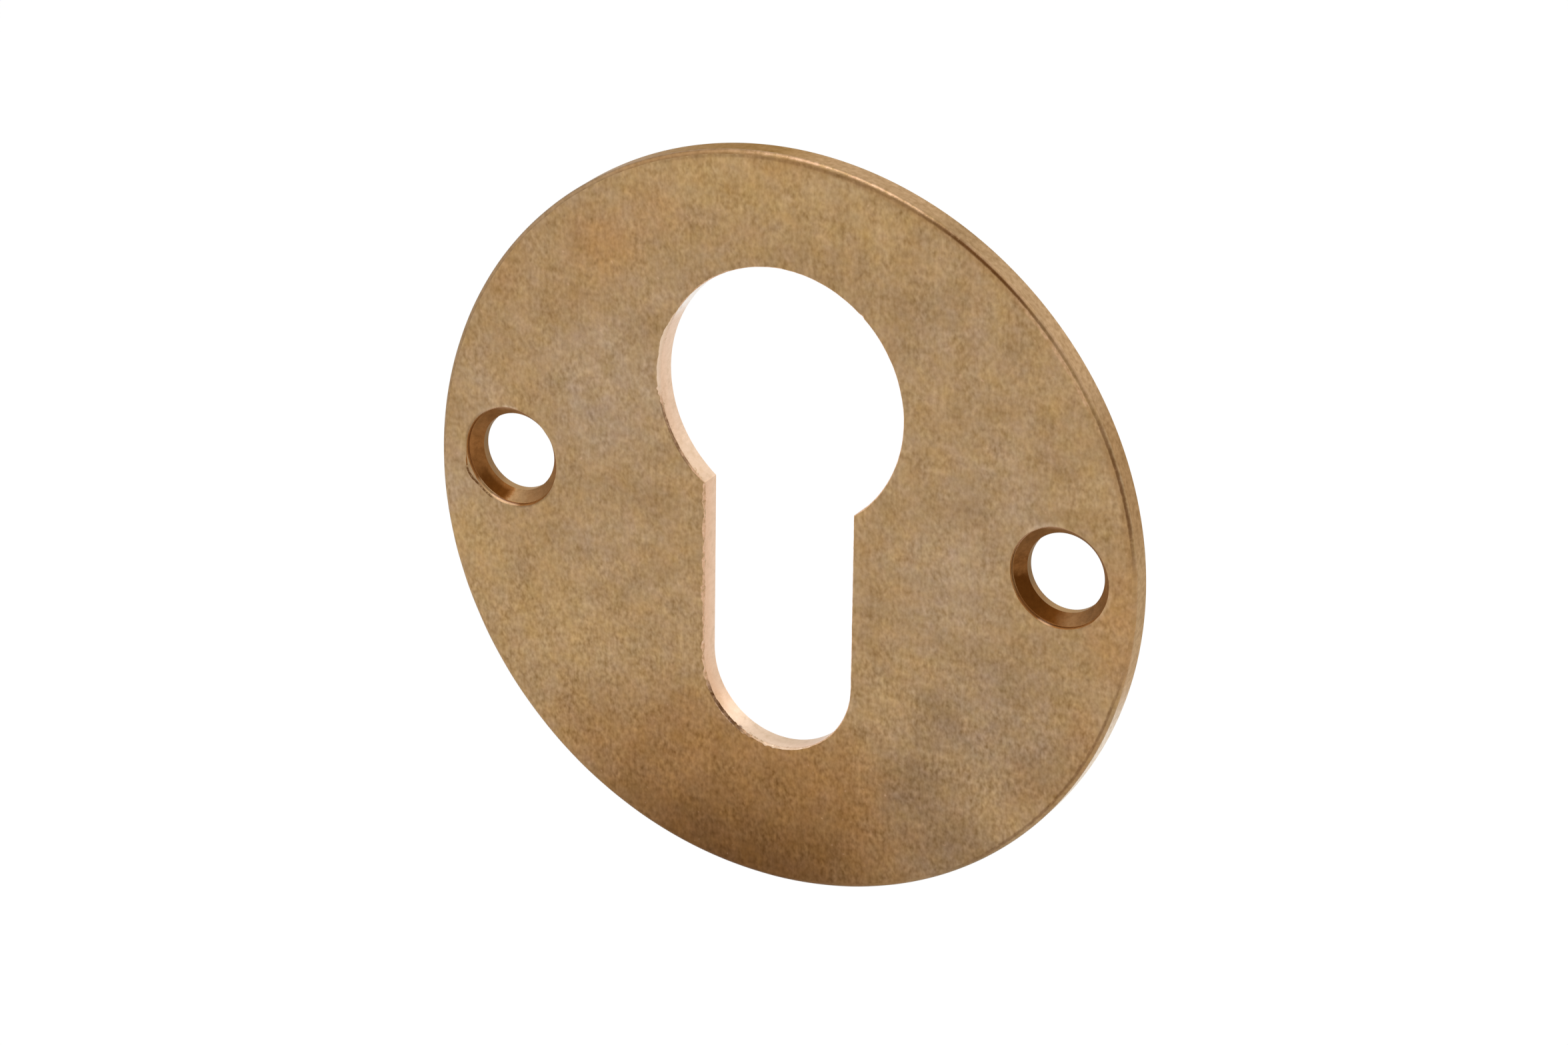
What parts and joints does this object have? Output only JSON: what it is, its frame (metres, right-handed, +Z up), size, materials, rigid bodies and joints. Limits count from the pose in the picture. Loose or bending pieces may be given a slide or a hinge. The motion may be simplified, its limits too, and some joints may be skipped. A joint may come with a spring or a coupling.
{
  "type": "keyhole escutcheon",
  "caption": "Round aged-bronze escutcheon plate with a profile-cylinder keyhole, countersunk screw holes and a rounded front edge, screwed flat to a door.",
  "frame": {"origin": "on the plate's flat back, halfway between the two screw holes", "axes": "+Z up along the keyhole, +X to the right seen from the face, +Y into the door; the face looks along -Y"},
  "size_m": [0.0508, 0.0016, 0.0507],
  "materials": {
    "aged_bronze": "aged, vertically brushed bronze with a mottled brown patina; bare pink metal in the keyhole"
  },
  "bodies": {
    "root": {"escutcheon_plate": "aged_bronze"}
  },
  "joints": []
}
